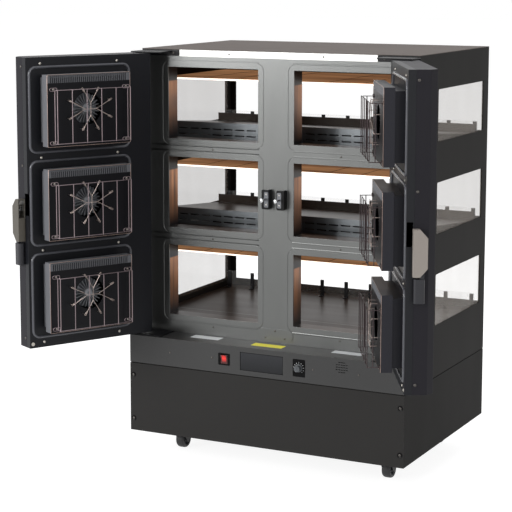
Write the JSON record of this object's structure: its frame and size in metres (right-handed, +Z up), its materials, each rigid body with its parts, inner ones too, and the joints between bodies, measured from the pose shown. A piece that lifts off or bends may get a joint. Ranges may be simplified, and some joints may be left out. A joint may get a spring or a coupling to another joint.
{
  "type": "heated display case",
  "caption": "Heated display case on casters: open tiers for customers, and hinged staff doors that carry fan heater modules with wire guards.",
  "frame": {"origin": "on the floor, under the middle of the whole object with its two doors open as in the rest pose", "axes": "+X across the case to the right seen from the staff side, +Y from the staff side to the customer side, +Z up"},
  "size_m": [1.4276, 1.1388, 1.386],
  "materials": {
    "charcoal_steel": "satin powder coat, very dark charcoal",
    "grey_steel": "satin powder coat, mid grey",
    "side_steel": "satin powder coat, dark brown grey",
    "taupe_steel": "satin powder coat, taupe grey",
    "pan_steel": "satin powder coat, near black",
    "module_steel": "satin powder coat, bluish black",
    "deck_steel": "semi gloss enamel, warm dark grey",
    "warm_lining": "semi gloss, copper tone",
    "black_steel": "black powder coat",
    "bright_trim": "fine satin",
    "side_glass": "clear, slightly warm",
    "clear_acrylic": "clear polished",
    "light_diffuser": "white diffuser",
    "screw_steel": "zinc plated",
    "chrome": "polished",
    "black_plastic": "fine textured black",
    "gloss_black": "glossy black",
    "red_switch": "translucent red, lit",
    "knob_plastic": "dark grey",
    "seal_rubber": "soft grey bead",
    "guard_wire": "nickel plated, slightly pink",
    "fan_metal": "pressed sheet",
    "motor_steel": "zinc plated",
    "heater_tube": "oxidised",
    "latch_metal": "light olive grey",
    "galvanised": "galvanised",
    "zinc": "zinc plated",
    "caster_tyre": "dark grey moulded"
  },
  "bodies": {
    "root": {"base_tray": "charcoal_steel", "lower_front_panel": "charcoal_steel", "control_fascia": "charcoal_steel", "front_frame": "grey_steel", "inner_lining": "warm_lining", "cabinet_sides": "side_steel", "side_glass": "side_glass", "rear_frame": "charcoal_steel", "top_panel": "taupe_steel", "trim_plates": "bright_trim", "hinge_brackets": "black_steel", "case_screws": "screw_steel", "strikers": "black_plastic", "striker_posts": "chrome", "control_plates": "gloss_black", "shelf_decks": "deck_steel", "clear_stops": "clear_acrylic", "prong_stops": "black_steel", "light_canopies": "warm_lining", "light_bars": "light_diffuser", "electrics_box": "galvanised", "caster_plates": "zinc"},
    "left_door": {"left_outer_shell": "charcoal_steel", "left_inner_pan": "pan_steel", "left_door_seals": "seal_rubber", "left_fan_housings": "module_steel", "left_fan_drives": "motor_steel", "left_heater_rings": "heater_tube", "left_fan_guards": "guard_wire", "left_door_fittings": "screw_steel", "left_latch_body": "latch_metal"},
    "left_latch_lever": {"left_latch_lever": "black_plastic"},
    "left_latch_catch": {"left_latch_catch": "chrome"},
    "left_impeller_bottom": {"left_impeller_bottom": "fan_metal"},
    "left_impeller_middle": {"left_impeller_middle": "fan_metal"},
    "left_impeller_top": {"left_impeller_top": "fan_metal"},
    "right_door": {"right_outer_shell": "charcoal_steel", "right_inner_pan": "pan_steel", "right_door_seals": "seal_rubber", "right_fan_housings": "module_steel", "right_fan_drives": "motor_steel", "right_heater_rings": "heater_tube", "right_fan_guards": "guard_wire", "right_door_fittings": "screw_steel", "right_latch_body": "latch_metal"},
    "right_latch_lever": {"right_latch_lever": "black_plastic"},
    "right_latch_catch": {"right_latch_catch": "chrome"},
    "right_impeller_bottom": {"right_impeller_bottom": "fan_metal"},
    "right_impeller_middle": {"right_impeller_middle": "fan_metal"},
    "right_impeller_top": {"right_impeller_top": "fan_metal"},
    "caster_fork_front_left": {"caster_fork_front_left": "zinc"},
    "caster_wheel_front_left": {"caster_wheel_front_left": "caster_tyre"},
    "caster_fork_front_right": {"caster_fork_front_right": "zinc"},
    "caster_wheel_front_right": {"caster_wheel_front_right": "caster_tyre"},
    "caster_fork_rear_left": {"caster_fork_rear_left": "zinc"},
    "caster_wheel_rear_left": {"caster_wheel_rear_left": "caster_tyre"},
    "caster_fork_rear_right": {"caster_fork_rear_right": "zinc"},
    "caster_wheel_rear_right": {"caster_wheel_rear_right": "caster_tyre"},
    "rocker_switch": {"rocker_switch": "red_switch"},
    "control_knob": {"control_knob": "knob_plastic"}
  },
  "joints": [
    {"name": "left_door_swing", "type": "hinge", "parent": "root", "child": "left_door", "pos_m": [-0.484, -0.13659, 0.9], "axis": [0, 0, 1], "range_deg": [-2, 118.25]},
    {"name": "left_lever_turn", "type": "hinge", "parent": "left_door", "child": "left_latch_lever", "pos_m": [-0.69244, -0.54565, 0.798], "axis": [0.4733, 0.8809, 0], "range_deg": [0, 40]},
    {"name": "left_catch_lift", "type": "slide", "parent": "left_door", "child": "left_latch_catch", "axis": [0, 0, 1], "range_m": [0, 0.014]},
    {"name": "left_fan_spin_bottom", "type": "hinge", "parent": "left_door", "child": "left_impeller_bottom", "pos_m": [-0.53131, -0.40633, 0.607], "axis": [0.8809, -0.4733, 0], "continuous": true},
    {"name": "left_fan_spin_middle", "type": "hinge", "parent": "left_door", "child": "left_impeller_middle", "pos_m": [-0.53131, -0.40633, 0.908], "axis": [0.8809, -0.4733, 0], "continuous": true},
    {"name": "left_fan_spin_top", "type": "hinge", "parent": "left_door", "child": "left_impeller_top", "pos_m": [-0.53131, -0.40633, 1.209], "axis": [0.8809, -0.4733, 0], "continuous": true},
    {"name": "right_door_swing", "type": "hinge", "parent": "root", "child": "right_door", "pos_m": [0.484, -0.13659, 0.9], "axis": [0, 0, 1], "range_deg": [-118.25, 2]},
    {"name": "right_lever_turn", "type": "hinge", "parent": "right_door", "child": "right_latch_lever", "pos_m": [0.69244, -0.54565, 0.798], "axis": [0.4733, -0.8809, 0], "range_deg": [0, 40]},
    {"name": "right_catch_lift", "type": "slide", "parent": "right_door", "child": "right_latch_catch", "axis": [0, 0, 1], "range_m": [0, 0.014]},
    {"name": "right_fan_spin_bottom", "type": "hinge", "parent": "right_door", "child": "right_impeller_bottom", "pos_m": [0.53131, -0.40633, 0.607], "axis": [-0.8809, -0.4733, 0], "continuous": true},
    {"name": "right_fan_spin_middle", "type": "hinge", "parent": "right_door", "child": "right_impeller_middle", "pos_m": [0.53131, -0.40633, 0.908], "axis": [-0.8809, -0.4733, 0], "continuous": true},
    {"name": "right_fan_spin_top", "type": "hinge", "parent": "right_door", "child": "right_impeller_top", "pos_m": [0.53131, -0.40633, 1.209], "axis": [-0.8809, -0.4733, 0], "continuous": true},
    {"name": "caster_swivel_front_left", "type": "hinge", "parent": "root", "child": "caster_fork_front_left", "pos_m": [-0.385, -0.03659, 0.075], "axis": [0, 0, 1], "continuous": true},
    {"name": "caster_roll_front_left", "type": "hinge", "parent": "caster_fork_front_left", "child": "caster_wheel_front_left", "pos_m": [-0.385, -0.01259, 0.03], "axis": [1, 0, 0], "continuous": true},
    {"name": "caster_swivel_front_right", "type": "hinge", "parent": "root", "child": "caster_fork_front_right", "pos_m": [0.385, -0.03659, 0.075], "axis": [0, 0, 1], "continuous": true},
    {"name": "caster_roll_front_right", "type": "hinge", "parent": "caster_fork_front_right", "child": "caster_wheel_front_right", "pos_m": [0.385, -0.01259, 0.03], "axis": [1, 0, 0], "continuous": true},
    {"name": "caster_swivel_rear_left", "type": "hinge", "parent": "root", "child": "caster_fork_rear_left", "pos_m": [-0.385, 0.42341, 0.075], "axis": [0, 0, 1], "continuous": true},
    {"name": "caster_roll_rear_left", "type": "hinge", "parent": "caster_fork_rear_left", "child": "caster_wheel_rear_left", "pos_m": [-0.385, 0.44741, 0.03], "axis": [1, 0, 0], "continuous": true},
    {"name": "caster_swivel_rear_right", "type": "hinge", "parent": "root", "child": "caster_fork_rear_right", "pos_m": [0.385, 0.42341, 0.075], "axis": [0, 0, 1], "continuous": true},
    {"name": "caster_roll_rear_right", "type": "hinge", "parent": "caster_fork_rear_right", "child": "caster_wheel_rear_right", "pos_m": [0.385, 0.44741, 0.03], "axis": [1, 0, 0], "continuous": true},
    {"name": "rocker_tip", "type": "hinge", "parent": "root", "child": "rocker_switch", "pos_m": [-0.139, -0.17159, 0.374], "axis": [1, 0, 0], "range_deg": [-14, 0]},
    {"name": "knob_turn", "type": "hinge", "parent": "root", "child": "control_knob", "pos_m": [0.134, -0.18659, 0.374], "axis": [0, 1, 0], "range_deg": [0, 270]}
  ],
  "couplings": [
    {"joint": "left_catch_lift", "follows": "left_lever_turn", "m_per_rad": 0.020053},
    {"joint": "right_catch_lift", "follows": "right_lever_turn", "m_per_rad": 0.020053}
  ]
}
